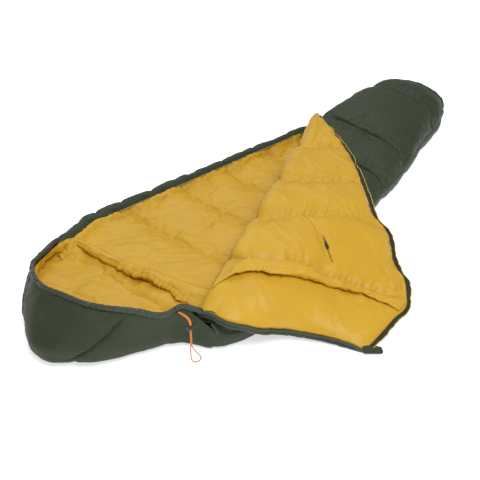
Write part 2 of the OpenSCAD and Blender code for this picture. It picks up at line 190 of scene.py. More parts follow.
def mesh_object(name, points, faces):
    mesh = bpy.data.meshes.new(name)
    mesh.from_pydata([tuple(p) for p in points], [], faces)
    mesh.validate()
    mesh.polygons.foreach_set("use_smooth", [True] * len(mesh.polygons))
    obj = bpy.data.objects.new(name, mesh)
    scene.collection.objects.link(obj)
    return obj


def grid_faces(n, m, wrap=False):
    i, j = np.meshgrid(np.arange(n - 1), np.arange(m if wrap else m - 1), indexing="ij")
    k = (j + 1) % m
    return np.stack([i * m + j, i * m + k, (i + 1) * m + k, (i + 1) * m + j], -1).reshape(-1, 4).tolist()


def normals(p):
    """Unit normals of a grid of points."""
    n = np.cross(np.gradient(p, axis=0), np.gradient(p, axis=1))
    return n / np.maximum(np.linalg.norm(n, axis=-1, keepdims=True), 1e-9)


def raised(p, h, side=1):
    return p + normals(p) * (side * h)[..., None]


def lengths(p, axis):
    """Running length along one axis of a grid of points."""
    step = np.linalg.norm(np.diff(p, axis=axis), axis=-1)
    return np.concatenate([np.zeros_like(np.take(step, [0], axis)), np.cumsum(step, axis)], axis)


def cloth_piece(name, p, thickness=CLOTH, side=1, subdivide=0):
    """A cloth made from a grid of points, thickened away from the normals, or with side -1 towards them."""
    obj = mesh_object(name, p.reshape(-1, 3), grid_faces(*p.shape[:2]))
    if subdivide:
        m = obj.modifiers.new("fine", "SUBSURF")
        m.levels = m.render_levels = subdivide
    m = obj.modifiers.new("thick", "SOLIDIFY")
    m.thickness = thickness
    m.offset = -side
    m.use_even_offset = False
    return obj


def applied(obj):
    """The object with its modifiers made part of its mesh."""
    bpy.context.view_layer.update()
    mesh = bpy.data.meshes.new_from_object(obj.evaluated_get(bpy.context.evaluated_depsgraph_get()))
    obj.modifiers.clear()
    obj.data = mesh
    return obj


def tube(name, path, radius, sides=10, flat=1.0, up=(0, 0, 1)):
    """A closed tube along a path. radius is a number or one for each point, and flat squeezes it along up."""
    p = np.asarray(path, float)
    t = np.gradient(p, axis=0)
    t /= np.linalg.norm(t, axis=1, keepdims=True)
    s = np.cross(t, np.array(up, float))
    s /= np.linalg.norm(s, axis=1, keepdims=True)
    u = np.cross(s, t)
    r = np.broadcast_to(radius, len(p))[:, None, None]
    a = np.linspace(0, 2 * math.pi, sides, endpoint=False)[None, :, None]
    rings = p[:, None] + r * (np.cos(a) * s[:, None] + np.sin(a) * flat * u[:, None])
    faces = grid_faces(len(p), sides, wrap=True)
    faces += [list(range(sides))[::-1], [(len(p) - 1) * sides + k for k in range(sides)]]
    return mesh_object(name, rings.reshape(-1, 3), faces)


def ribbon(name, path, across, width, thickness=0.0008):
    """A flat tape along a path, width wide along the directions in across."""
    p, a = np.asarray(path, float), np.asarray(across, float)
    a = a / np.linalg.norm(a, axis=1, keepdims=True)
    w = np.linspace(-0.5, 0.5, 4)[None, :, None]
    return cloth_piece(name, p[:, None] + a[:, None] * w * width, thickness)


def joined(name, parts):
    """Several meshes as one object."""
    points, faces, count = [], [], 0
    for part in parts:
        points += [v.co.copy() for v in part.data.vertices]
        faces += [[count + i for i in f.vertices] for f in part.data.polygons]
        count = len(points)
        bpy.data.objects.remove(part)
    return mesh_object(name, points, faces)


def stitches(name, path, normal, length=0.0034, gap=0.0022, radius=0.00055):
    """A row of thread stitches lying on a path."""
    p, n = np.asarray(path, float), np.asarray(normal, float)
    run = np.concatenate([[0], np.cumsum(np.linalg.norm(np.diff(p, axis=0), axis=1))])
    starts = np.arange(0, run[-1] - length, length + gap)
    points, faces = [], []
    for start in starts:
        ends = np.array([[np.interp(x, run, p[:, k]) for k in range(3)] for x in (start, start + length)])
        up = np.array([np.interp(start, run, n[:, k]) for k in range(3)])
        along = (ends[1] - ends[0]) / length
        side = np.cross(along, up)
        base = len(points)
        for end in ends:
            for a in (0, 120, 240):
                points.append(
                    end + radius * (math.cos(math.radians(a)) * up + math.sin(math.radians(a)) * side))
        faces += [[base, base + 1, base + 4, base + 3], [base + 1, base + 2, base + 5, base + 4],
                  [base + 2, base, base + 3, base + 5], [base + 2, base + 1, base],
                  [base + 3, base + 4, base + 5]]
    return mesh_object(name, points, faces)


def seam_relief(d, l, seed, groove=0.006, pinch=0.01, pucker=0.0035, reach=0.03, spacing=0.016):
    """Height change near a sewn seam: d is the distance across it and l the distance along it."""
    a = np.abs(d)
    fold = creases(l / spacing, np.sign(d) * 3 + a / (4 * reach), seed)
    return (-groove * np.exp(-(a / 0.0042) ** 1.4) - pinch * np.exp(-a / reach)
            + pucker * fold * np.exp(-a / reach) * (1 - np.exp(-a / 0.004)))


def drape(p, seed, height=0.0016, size=0.09, turn=0.6):
    """Soft creases over a panel, longer one way than the other."""
    c, s = math.cos(turn), math.sin(turn)
    x, y = p[..., 0] * c + p[..., 1] * s, p[..., 1] * c - p[..., 0] * s
    wide = creases(x / size, y / (size * 0.35), seed) + 0.5 * creases(x / size * 2.1, y / (size * 0.17),
                                                                      seed + 1)
    return height * (wide - 0.4)


def sample(grid, fi, fj):
    """Values of a grid between its rows and columns."""
    i = np.clip(fi.astype(int), 0, grid.shape[0] - 2)
    j = np.clip(fj.astype(int), 0, grid.shape[1] - 2)
    a, b = (fi - i)[..., None], (fj - j)[..., None]
    return mix(mix(grid[i, j], grid[i, j + 1], b), mix(grid[i + 1, j], grid[i + 1, j + 1], b), a)


def puffed(p, pinned, push, pressure=1.4, grow=0.035, frames=18, cap=0.007, step=2, free_start=False):
    """Panel after a cloth simulation: sewn where pinned, a little too large elsewhere, blown to one side."""
    n, m = p.shape[:2]
    rows = np.unique(np.append(np.arange(0, n, step), n - 1))
    cols = np.unique(np.append(np.arange(0, m, step), m - 1))
    held = pinned.copy()
    for k in range(1, step):
        held[:-k] |= pinned[k:]
    held[[0, -1]] = held[:, [0, -1]] = True
    if free_start:
        held[1:-1, 0] = False
    start = p[np.ix_(rows, cols)]
    obj = mesh_object("panel", start.reshape(-1, 3), grid_faces(len(rows), len(cols)))
    obj.vertex_groups.new(name="sewn").add(np.flatnonzero(held[np.ix_(rows, cols)]).tolist(), 1.0, "REPLACE")
    cloth = obj.modifiers.new("cloth", "CLOTH")
    cloth.settings.quality = 5
    cloth.settings.mass = 0.15
    cloth.settings.tension_stiffness = cloth.settings.compression_stiffness = 14
    cloth.settings.shear_stiffness = 5
    cloth.settings.bending_stiffness = 0.05
    cloth.settings.air_damping = 2
    cloth.settings.vertex_group_mass = "sewn"
    cloth.settings.shrink_min = -grow
    cloth.settings.use_pressure = True
    cloth.settings.uniform_pressure_force = -push * pressure
    cloth.settings.effector_weights.gravity = 0
    cloth.collision_settings.use_collision = False
    cloth.point_cache.frame_start, cloth.point_cache.frame_end = 1, frames
    for frame_number in range(1, frames + 1):
        scene.frame_set(frame_number)
    settled = applied(obj)
    moved = np.array([v.co[:] for v in settled.data.vertices]).reshape(start.shape) - start
    bpy.data.objects.remove(settled)
    scene.frame_set(1)
    far = np.linalg.norm(moved, axis=-1, keepdims=True)
    moved *= cap * np.tanh(far / cap) / np.maximum(far, 1e-9)
    fi, fj = np.meshgrid(np.interp(np.arange(n), rows, np.arange(len(rows))), np.interp(np.arange(m), cols,
                         np.arange(len(cols))), indexing="ij")
    return p + sample(moved, fi, fj)


# ---------- materials ----------

SHELL = (0.032, 0.044, 0.021, 1)
LINING = (0.57, 0.33, 0.022, 1)
BLACK = (0.012, 0.013, 0.012, 1)
COIL = (0.50, 0.36, 0.03, 1)
ORANGE = (0.74, 0.24, 0.03, 1)


def material(name, colour, rough, vary=0.08, weave=2600, weave_depth=0.15, sheen=0.0, metal=0.0, crumple=0.0,
             specular=0.5):
    """Woven or moulded finish: drifting tone, a fine weave or grain, and small crumples."""
    m = bpy.data.materials.new(name)
    m.use_nodes = True
    nodes, links = m.node_tree.nodes, m.node_tree.links
    shader = nodes["Principled BSDF"]
    shader.inputs["Roughness"].default_value = rough
    shader.inputs["Metallic"].default_value = metal
    shader.inputs["Specular IOR Level"].default_value = specular
    shader.inputs["Sheen Weight"].default_value = sheen
    shader.inputs["Sheen Roughness"].default_value = 0.4
    place = nodes.new("ShaderNodeTexCoord")
    drift = nodes.new("ShaderNodeTexNoise")
    drift.inputs["Scale"].default_value = 9
    drift.inputs["Detail"].default_value = 4
    links.new(place.outputs["Object"], drift.inputs["Vector"])
    ramp = nodes.new("ShaderNodeValToRGB")
    for element, tone in zip(ramp.color_ramp.elements, (1 - vary, 1 + vary)):
        element.color = tuple(min(1, c * tone) for c in colour[:3]) + (1,)
    ramp.color_ramp.elements[0].position, ramp.color_ramp.elements[1].position = 0.3, 0.7
    links.new(drift.outputs["Fac"], ramp.inputs["Fac"])
    links.new(ramp.outputs["Color"], shader.inputs["Base Color"])
    height = None
    for turned in (0, 1):
        threads = nodes.new("ShaderNodeTexWave")
        threads.bands_direction = "Y" if turned else "X"
        threads.inputs["Scale"].default_value = weave / 20
        threads.inputs["Distortion"].default_value = 0.6
        threads.inputs["Detail"].default_value = 1
        links.new(place.outputs["Object"], threads.inputs["Vector"])
        if height is None:
            height = threads
        else:
            both = nodes.new("ShaderNodeMath")
            both.operation = "MAXIMUM"
            links.new(height.outputs["Fac"], both.inputs[0])
            links.new(threads.outputs["Fac"], both.inputs[1])
            height = both
    bump = nodes.new("ShaderNodeBump")
    bump.inputs["Strength"].default_value = weave_depth
    bump.inputs["Distance"].default_value = 0.0003
    links.new(height.outputs[0], bump.inputs["Height"])
    if crumple:
        small = nodes.new("ShaderNodeTexNoise")
        small.inputs["Scale"].default_value = 60
        small.inputs["Detail"].default_value = 5
        small.inputs["Distortion"].default_value = 0.8
        links.new(place.outputs["Object"], small.inputs["Vector"])
        wrinkle = nodes.new("ShaderNodeBump")
        wrinkle.inputs["Strength"].default_value = crumple
        wrinkle.inputs["Distance"].default_value = 0.003
        links.new(small.outputs["Fac"], wrinkle.inputs["Height"])
        links.new(bump.outputs["Normal"], wrinkle.inputs["Normal"])
        bump = wrinkle
    links.new(bump.outputs["Normal"], shader.inputs["Normal"])
    return m


shell_cloth = material("shell_cloth", SHELL, 0.58, vary=0.07, crumple=0.3, specular=0.28)
lining_cloth = material("lining_cloth", LINING, 0.46, vary=0.035, crumple=0.28, specular=0.3)
hem_cloth = material("hem_cloth", (0.034, 0.045, 0.026, 1), 0.6, sheen=0.1, crumple=0.3)
black_tape = material("black_tape", BLACK, 0.7, vary=0.2, weave=1500, weave_depth=0.4, sheen=0.1)
coil_nylon = material("coil_nylon", COIL, 0.4, vary=0.1, weave_depth=0.05)
thread_gold = material("thread_gold", (0.42, 0.25, 0.04, 1), 0.6, vary=0.1)
orange_cord = material("orange_cord", ORANGE, 0.6, vary=0.25, weave=3600, weave_depth=0.7, sheen=0.1)
black_plastic = material("black_plastic", (0.02, 0.02, 0.02, 1), 0.38, vary=0.15, weave=900, weave_depth=0.05)
zip_metal = material("zip_metal", (0.09, 0.09, 0.095, 1), 0.35, vary=0.2, metal=0.85, weave_depth=0.05)
label_cloth = material("label_cloth", (0.62, 0.6, 0.54, 1), 0.6, vary=0.05, weave=1800, weave_depth=0.3)


def finish_piece(obj, look, body="root", replaces=()):
    """Gives a piece its material, and sets what it rides on and stands for."""
    obj.data.materials.clear()
    obj.data.materials.append(look)
    if body:
        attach(obj, body)
    if replaces:
        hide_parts(*replaces)
    return obj


# ---------- camera and drawcord ----------


def make_camera():
    azimuth, elevation, distance = math.radians(39.81), math.radians(33.77), 2.333
    target = Vector((0.0739, -0.3625, 0.05))
    back = Vector((math.sin(azimuth) * math.cos(elevation), -math.cos(azimuth) * math.cos(elevation),
                   math.sin(elevation)))
    data = bpy.data.cameras.new("camera")
    data.sensor_width = 36
    data.lens = 52.4
    data.clip_start, data.clip_end = 0.02, 60
    camera = bpy.data.objects.new("camera", data)
    camera.location = target + back * distance
    camera.rotation_euler = (-back).to_track_quat("-Z", "Y").to_euler()
    scene.collection.objects.link(camera)
    scene.camera = camera


CORD_R = 0.0015
CORD_ROUTE = [(255, -841, 139), (262, -841, 139), (272, -841, 139), (282, -841, 138), (290, -841, 135),
              (295, -841, 130), (298, -841, 123), (298, -841, 108), (298, -841, 90), (298, -841, 70),
              (298, -841, 48), (299, -844, 34), (302, -847, 22), (306, -850, 12), (312, -852, 5),
              (319, -850, 3),
              (324, -843, 3), (325, -835, 3), (322, -828, 3), (316, -824, 4), (309, -825, 9), (303, -829, 18),
              (300, -833, 28), (298, -837, 40), (298, -837, 54), (298, -837, 72), (298, -837, 90),
              (298, -837, 108), (298, -837, 123), (295, -837, 130), (290, -837, 135), (282, -837, 138),
              (272, -837, 139), (262, -837, 139), (255, -837, 139)]


def make_cord():
    """The drawcord's loop: one smooth braided curve out of the hem, through the lock and back."""
    route = np.array(CORD_ROUTE, float) / 1000
    steps = np.concatenate([[0], np.cumsum(np.linalg.norm(np.diff(route, axis=0), axis=1))])
    smooth_route = curve(np.column_stack([steps, route]))
    path = smooth_route(np.linspace(0, steps[-1], 260))
    cord = tube("drawcord_loop", path, CORD_R, sides=12, up=(0.5, 0.7, 0.5))
    finish_piece(cord, orange_cord, replaces=["hood_cord"])
    length = float(np.linalg.norm(np.diff(path, axis=0), axis=1).sum())
    return length


make_camera()
make_cord()

# ---------- outer shell: back panel, far roll and hood wall in one sweep ----------

WALL_KNOTS = [0, 0.1, 0.2, 0.3, 0.42, 0.56, 0.68, 1]
roll_pinches = [(-0.735, 0.5), (-0.66, 0.35), (-0.585, 1), (-0.482, 0.9), (-0.352, 1), (-0.235, 0.3),
                (-0.176, 0.7),
                (-0.14, 0.4), (-0.004, 0.9), (0.085, 0.3), (0.163, 0.8), (0.277, 0.6), (0.36, 0.5)]


def far_controls(y):
    r = roll_radius(y)
    for place, depth in roll_pinches:
        r = r * (1 - 0.38 * depth * np.exp(-np.abs(y - place) / 0.010))
    r = r * (1.04 + 0.05 * noise(y / 0.05, 0, 5))
    edge_x, edge_z = zip_x(y) - 0.012, ZIP_Z - 0.002
    a = math.radians(35)
    cx, cz = edge_x - r * math.cos(a), edge_z - r * math.sin(a)

    def on(angle, k=1.0):
        return cx + k * r * math.cos(math.radians(angle)), cz + k * r * math.sin(math.radians(angle))

    rolled = [(edge_x, edge_z), on(72), on(110), on(160), (cx - r * 0.98, cz * 0.6),
              (cx - r + 0.014, 0.012 + 0 * y),
              (cx - r + 0.055, 0 * y), (0 * y, 0 * y)]
    f = far_x(y)
    closed = [(f, 0.071), (f - 0.002, 0.064), (f - 0.004, 0.056), (f - 0.004, 0.048), (f - 0.001, 0.034),
              (f + 0.012, 0.011), (f + 0.055, 0), (0, 0)]
    k = smooth(0.44, 0.56, y)
    return [np.array([mix(a[0], b[0] + 0 * y, k), y, mix(a[1], b[1] + 0 * y, k)]).T for a,
            b in zip(rolled, closed)]


def hood_controls(bearing):
    rim, out, z = hood_rim(bearing), hood_outline(bearing), hood_rim_z(bearing)
    low = 0.05
    rows = [(rim, z), (rim + 0.3 * (out - rim) + 0.003, z - 0.018)]
    rows += [(rim + (out - rim) * math.sin(f * math.pi / 2), mix(z, low, f)) for f in (0.5, 0.8)]
    rows += [(out, low - 0.012 + 0 * z), (out - 0.014, 0.012 + 0 * z), (out - 0.06, 0 * z), (0 * z, 0 * z)]
    return [hood_point(bearing, r, h) for r, h in rows]


def near_controls(y):
    x = near_x(y)
    rows = [(x - 0.004, 0.063), (x - 0.001, 0.058), (x + 0.001, 0.053), (x + 0.001, 0.046),
            (x - 0.001, 0.034),
            (x - 0.013, 0.011), (x - 0.055, 0), (0 * x, 0)]
    return [np.array([a + 0 * y, y, z + 0 * y]).T for a, z in rows]


STEP = 0.0042


def shell_controls():
    far = far_controls(np.arange(FOOT_RING, -0.775, -STEP))
    hood = hood_controls(np.arange(177, 8, -0.76))
    near = near_controls(np.arange(-0.775, FOOT_RING, STEP))
    rows = np.array([np.concatenate([f, h, n]) for f, h, n in zip(far, hood, near)])
    spacing = np.concatenate([[0], np.cumsum(np.linalg.norm(np.diff(rows[3], axis=0), axis=1))])
    even = np.linspace(0, spacing[-1], int(spacing[-1] / STEP))
    rows = np.array([np.array([np.interp(even, spacing, r[:, k]) for k in range(3)]).T for r in rows])
    soft = np.array([blurred(r, 5) for r in rows])
    neck = smooth(-0.70, -0.76, rows[3][:, 1])[:, None]
    return mix(rows, soft, neck[None])


def wall_grid(rows, count=60):
    """Points down the wall from its rim to the middle of the floor, at each station."""
    v = np.concatenate([np.linspace(0, 0.68, count, endpoint=False), np.linspace(0.68, 1, 12)])
    p = np.stack([curve(np.column_stack([WALL_KNOTS, rows[:, i]]))(v) for i in range(rows.shape[1])])
    p[..., 2] = np.maximum(p[..., 2], 0.0006)
    return p, v


def bearing_of(p):
    return np.degrees(np.arctan2(HOOD_CENTRE[1] - p[..., 1], p[..., 0] - HOOD_CENTRE[0]))


def make_back_shell():
    p, v = wall_grid(shell_controls())
    down = lengths(p, 1)
    bearing = bearing_of(p)
    in_hood = p[..., 1] < NECK - 0.02
    wall = np.where(v < 0.66, 1.0, 0.0)[None, :]
    depth = mix(0, 1, np.clip(down / 0.17, 0, 1))
    h = np.zeros(p.shape[:2])
    # Sewn seams of the hood wall, leaning as they go down
    for seed, (top, foot) in enumerate([(42, 72), (140, 104)]):
        d = np.radians(bearing - mix(top, foot, depth)) * 0.32
        h += np.where(in_hood, seam_relief(d, down, seed + 10, groove=0.007, pinch=0.009, reach=0.035), 0)
    # Seams of the far roll and the near side
    near_side = (p[..., 0] > 0.1) & ~in_hood
    for seed, y in enumerate((-0.47, -0.24, -0.01, 0.22, 0.45, 0.68, 0.88)):
        h += np.where(near_side, seam_relief(p[..., 1] - y, down, seed + 20, groove=0.005, pinch=0.008), 0)
    far_side = (p[..., 0] < -0.1) & ~in_hood
    folds = creases(p[..., 1] / 0.05 + down / 0.03, down / 0.05, 31) - 0.4
    h += np.where(far_side, 0.0046 * folds, 0)
    # The crown puffs between its seams
    h += np.where(in_hood, 0.007 * noise(bearing / 24, down / 0.09, 3)
                  + 0.002 * noise(bearing / 7, down / 0.04, 4), 0)
    h += drape(p, 40, 0.0016)
    h *= wall * np.where(h < 0, smooth(0, 0.05, down), smooth(0, 0.008, down))
    p = raised(p, h, -1)
    p[..., 2] = np.maximum(p[..., 2], 0.0006)
    obj = cloth_piece("back_shell", end_slant(p), side=-1)
    finish_piece(obj, shell_cloth,
                 replaces=["base_shell", "hood_shell", "base_fill", "hood_fill"])
    return p


# ---------- outer shell: front panel and foot ----------

# Each crosses the panel at this Y, and leans by this much towards the hood at its near end
FRONT_SEAMS = [(-0.5, 0), (-0.26, 0), (-0.01, 0.05), (0.31, 0.28), (0.5, 0.18), (0.86, 0.25)]


def front_end(y):
    """Where the front shell stops: at the fold, and past the zip's end at the far side."""
    k = smooth(0.44, 0.53, y)
    fold = fold_x(y) + 0.062
    x = mix(fold, np.where(y > 0.4, far_x(y), fold) + 0.0, k)
    z = mix(0.112, 0.073, k)
    return x, z


def front_section(y, t, inner=False):
    """Grid of the front panel from the near seam up and over, or of its lining, a wall's thickness inside."""
    y, t = np.meshgrid(y, t, indexing="ij")
    sink = (WALL + 0.012 * smooth(0.1, 0.3, y)) * inner
    end = front_end(y)[0]
    start = near_x(y) - 0.003 - sink * mix(0.6, 0.9, smooth(0.1, 0.3, y))
    end = end + sink * 0.8 * smooth(0.44, 0.53, y)
    k = smooth(0.36, 0.62, y)
    eased = mix(1 - np.cos(t * math.pi / 2), (1 - np.cos(t * math.pi)) / 2, k)
    x = mix(start, end, eased)
    low = 0.064
    top = top_z(y) - sink
    near_r = mix(0.085, 0.5 * (start - end), k)
    far_r = mix(0.002, 0.5 * (start - end), k)

    def rise(d, r):
        return np.sqrt(np.clip(1 - (1 - np.clip(d / r, 0, 1)) ** 2, 0, 1))

    both = rise(start - x, near_r) * np.where(k > 0, np.maximum(rise(x - end, far_r), 1 - k), 1)
    return np.stack([x, y, low + (top - low) * both ** mix(1.0, 0.8, k)], -1)


def make_front_shell():
    y = np.arange(-0.775, FOOT_RING + 0.001, 0.0035)
    p = front_section(y, np.linspace(0, 1, 110))
    across = lengths(p, 1)
    h = np.zeros(p.shape[:2])
    sewn = np.zeros(h.shape, bool)
    for seed, (place, lean) in enumerate(FRONT_SEAMS):
        d = p[..., 1] - place + lean * p[..., 0]
        sewn |= np.abs(d) < 0.006
        deep = smooth(0.1, 0.3, place)
        h += seam_relief(d, across, seed + 50, groove=0.006 + 0.003 * deep,
                         pinch=0.010 + 0.008 * deep, pucker=0.0035, reach=0.04, spacing=0.028)
    h += 0.003 * smooth(0.42, 0.6, p[..., 1])
    h += drape(p, 60, 0.0018, 0.12, 0.2) + 0.004 * noise(p[..., 0] / 0.16, p[..., 1] / 0.12, 6)
    h *= smooth(0, 0.02, across)
    p = puffed(raised(p, h), sewn, 1, grow=0.03, step=3)
    obj = cloth_piece("front_shell", end_slant(p), side=-1)
    finish_piece(obj, shell_cloth,
                 replaces=["cover_shell", "cover_fill", "foot_shell", "foot_fill"])
    return p


back_grid = make_back_shell()
front_grid = make_front_shell()


def make_foot_end():
    """The sewn end panel: a puffed dome over the open end of the two shells."""
    front = front_grid[-1]
    floor = [far_controls(np.array([FOOT_RING])), near_controls(np.array([FOOT_RING]))]
    sides = [curve(np.column_stack([WALL_KNOTS, np.array([c[0] for c in f])]))(np.linspace(0, 0.95, 40))
             for f in floor]
    ring = np.concatenate([front[::3], sides[0], sides[1][::-1]])
    ring[:, 2] = np.maximum(ring[:, 2], 0.0006)
    centre = np.array([ring[:, 0].mean(), FOOT_RING, 0.072])
    rings = []
    for k in np.linspace(0, 1, 26):
        shrink = math.cos(k * math.pi / 2) ** 0.7 if k < 1 else 0.0
        layer = centre + (ring - centre) * shrink
        layer[:, 1] = FOOT_RING + 0.066 * math.sin(k * math.pi / 2) ** 0.8
        rings.append(layer)
    p = np.array(rings)
    angle = np.linspace(0, 40, p.shape[1])
    fade = np.sin(np.linspace(0, math.pi, 26))[:, None]
    p = p + normals(p) * (fade * 0.003 * (creases(angle[None] * 1.3, np.arange(26)[:, None] / 9,
                                                  70) - 0.4))[..., None]
    p[..., 2] = np.maximum(p[..., 2], 0.0006)
    p = end_slant(p)
    obj = cloth_piece("foot_end_panel", p, side=1)
    finish_piece(obj, shell_cloth)
    loops = []
    for k, x in enumerate((-0.105, 0.075)):
        near = np.argmin(np.linalg.norm((p - [x, 0, 0.09])[..., [0, 2]], axis=-1))
        root = p.reshape(-1, 3)[near]
        a = np.linspace(-0.3, math.pi + 0.3, 24)
        path = root + np.stack([0 * a, 0.012 * np.sin(a), 0.009 * np.cos(a)], -1)
        loops.append(applied(ribbon(f"loop_{k}", path, np.tile([1.0, 0, 0], (24, 1)), 0.010, 0.0012)))
    finish_piece(joined("hang_loop_tapes", loops), black_tape, replaces=["hang_loops"])


make_foot_end()

# ---------- lining of the back panel and foot ----------

BACK_SEAMS = [-0.47, -0.24, -0.01, 0.22, 0.45, 0.68, 0.9]


def make_back_lining():
    y = np.arange(-0.805, FOOT_RING - 0.03, 0.005)
    far, near = zip_x(y) - 0.010, near_x(y) - 0.036 - 0.02 * smooth(-0.71, -0.76, y)
    far = mix(far, np.where(y > 0.4, far_x(y), far) + 0.024, smooth(0.44, 0.56, y))
    s = np.concatenate([np.linspace(0, 0.2, 30, endpoint=False), np.linspace(0.2, 0.86, 76, endpoint=False),
                        np.linspace(0.86, 1, 16)])
    height = curve([(0, 0.0695), (0.03, 0.064), (0.07, 0.05), (0.13, 0.039), (0.22, 0.032), (0.45, 0.027),
                    (0.75, 0.028),
                    (0.88, 0.033), (0.95, 0.044), (1, 0.064)])(s)
    spread = curve([(0, 0), (0.03, 0.018), (0.07, 0.04), (0.13, 0.09), (0.22, 0.19), (0.5, 0.48), (0.8, 0.81),
                    (0.9, 0.93), (0.96, 0.985), (1, 1)])(s)
    x = far[:, None] + (near - far)[:, None] * spread[None]
    under_hood = 0.026 * smooth(-0.74, -0.80, y)[:, None]
    p = np.stack([x, np.broadcast_to(y[:, None], x.shape), height[None] - under_hood], -1)
    across = lengths(p, 1)
    h = np.zeros(p.shape[:2])
    for seed, place in enumerate(BACK_SEAMS):
        wander = 0.006 * noise(p[..., 0] / 0.12, place * 7, 80)
        h += seam_relief(p[..., 1] - place + wander, across, seed + 90, groove=0.005, pinch=0.012,
                         pucker=0.0075,
                         reach=0.028, spacing=0.018)
    h += drape(p, 100, 0.0042, 0.12, 0.9) + 0.005 * noise(p[..., 0] / 0.15, p[..., 1] / 0.1, 7) + 0.004
    h += 0.0016 * noise(p[..., 0] / 0.05, p[..., 1] / 0.035, 102)
    edge = np.exp(-across / 0.02)
    h += 0.003 * edge * creases(p[..., 1] / 0.014, across / 0.05, 101)
    h *= smooth(0, 0.012, across)
    p = raised(p, h, -1)
    sewn = np.abs(p[..., 1, None] - np.array(BACK_SEAMS)).min(-1) < 0.004
    p = puffed(p, sewn, -1)
    obj = cloth_piece("back_lining", end_slant(p), side=-1)
    finish_piece(obj, lining_cloth, replaces=["base_lining", "foot_lining"])


make_back_lining()


def make_front_lining():
    """Underside of the front panel, from the near seam to the fold and on over the foot."""
    y = np.arange(-0.765, FOOT_RING - 0.03, 0.0065)
    p = front_section(y, np.linspace(0, 1, 80), inner=True)
    k = smooth(0.44, 0.53, y)[:, None]
    p[..., 2] = np.where(p[..., 2] > 0.066, p[..., 2] + 0.002 * (1 - k), p[..., 2])
    across = lengths(p, 1)
    h = np.zeros(p.shape[:2])
    for seed, (place, lean) in enumerate(FRONT_SEAMS):
        h += seam_relief(p[..., 1] - place + lean * p[..., 0], across, seed + 110, groove=0.002, pinch=0.003)
    h = (h + drape(p, 120, 0.002)) * smooth(0, 0.02, across) * smooth(0, 0.02, across[:, -1:] - across)
    p = raised(p, h, -1)
    obj = cloth_piece("front_lining", end_slant(p), side=1)
    finish_piece(obj, lining_cloth, replaces=["cover_lining"])


make_front_lining()

# ---------- hood lining ----------


def make_hood_lining():
    bearing = np.arange(-12, 192.01, 0.9)
    held = np.clip(bearing, 0, 180)
    sink = 0.035 * smooth(4, -7, bearing) + 0.012 * smooth(183, 193, bearing)
    rim, out, z = hood_rim(held) - 0.006, hood_outline(held) - WALL - 0.006, hood_rim_z(held) - 0.004 - sink
    s = np.linspace(0, 1, 90)
    knots = [0, 0.12, 0.26, 0.4, 0.52, 0.66, 1]
    rows = [(rim, z), (mix(rim, out, 0.1) - 0.003, z - 0.022), (mix(rim, out, 0.62), mix(z, 0.035, 0.5)),
            (out, mix(z, 0.035, 0.82)), (out - 0.03, 0.036 + 0 * z), (out - 0.09, 0.029 + 0 * z),
            (0.001 + 0 * z, 0.027 + 0 * z)]
    control = np.stack([hood_point(bearing, r, h) for r, h in rows], 1)
    p = np.stack([curve(np.column_stack([knots, c]))(s) for c in control])
    down = lengths(p, 1)
    around = bearing[:, None] + 0 * down
    gather = np.exp(-down / 0.07)
    h = (0.010 * gather * (creases(around / 5.5, down / 0.2, 130) - 0.35)
         * (0.35 + 0.65 * smooth(95, 130, around)))
    h += 0.018 * np.exp(-((down - 0.1) / 0.09) ** 2) * (creases(around / 13, down / 0.25,
                                                                131) - 0.3) * smooth(90, 120, around)
    d = np.radians(around - mix(104, 96, np.clip(down / 0.2, 0, 1))) * 0.25
    h += seam_relief(d, down, 132, groove=0.006, pinch=0.012, pucker=0.005,
                     reach=0.03) * (1 - smooth(0.12, 0.24, down))
    h += 0.006 * noise(around / 30, down / 0.12, 133) + drape(p, 134, 0.0045, 0.11, 0.4)
    h *= np.where(h < 0, smooth(0, 0.05, down), smooth(0, 0.01, down)) * (1 - smooth(0.75, 0.97, s))[None]
    p = raised(p, h, -1)
    p = puffed(p, ((np.abs(d) < 0.004) & (down < 0.2)) | (s > 0.85)[None], -1, pressure=0.6, grow=0.05)
    obj = cloth_piece("hood_lining_cloth", p, side=-1)
    finish_piece(obj, lining_cloth, replaces=["hood_lining"])


make_hood_lining()

# ---------- folded flap ----------

# Rows of the flap: 0 neck edge, 1 collar's free edge, 2 collar seam, 3 to 5 quilting seams, 6 tip
ridge_t = curve([(0, -0.025), (1, 0.075), (2, 0.15), (3, 0.335), (4, 0.53), (5, 0.735), (6, 0.965)])
flap_edge = curve([(0, 0.655, -0.515), (0.5, 0.657, -0.44), (1, 0.652, -0.345), (1.4, 0.655, -0.30),
                   (2, 0.630, -0.232),
                   (2.3, 0.585, -0.168), (2.6, 0.515, -0.115), (2.8, 0.472, -0.058), (3, 0.425, -0.008),
                   (3.25, 0.36, 0.0),
                   (3.5, 0.315, 0.035), (4, 0.252, 0.1), (4.5, 0.165, 0.188), (5, 0.065, 0.28),
                   (5.5, -0.065, 0.372),
                   (5.8, -0.14, 0.422), (6, -0.178, 0.45)])
underside_z = curve([(-1, 0.126), (-0.05, 0.124), (-0.01, 0.120), (0.02, 0.108), (0.06, 0.080), (0.12, 0.045),
                     (0.2, 0.018), (0.28, 0.006), (0.42, 0.003)])
neck_edge = curve([(0, 0.309, -0.774, 0.112), (0.15, 0.365, -0.762, 0.102), (0.35, 0.418, -0.7, 0.07),
                   (0.55, 0.463, -0.612, 0.026), (0.75, 0.55, -0.553, 0.010), (1, 0.655, -0.515, 0.003)])
RIDGE_R = 0.075
POCKET_START = np.array([0.350, -0.288, 0.143])
POCKET_RUN = np.array([0.422, -0.339, 0.105]) - POCKET_START


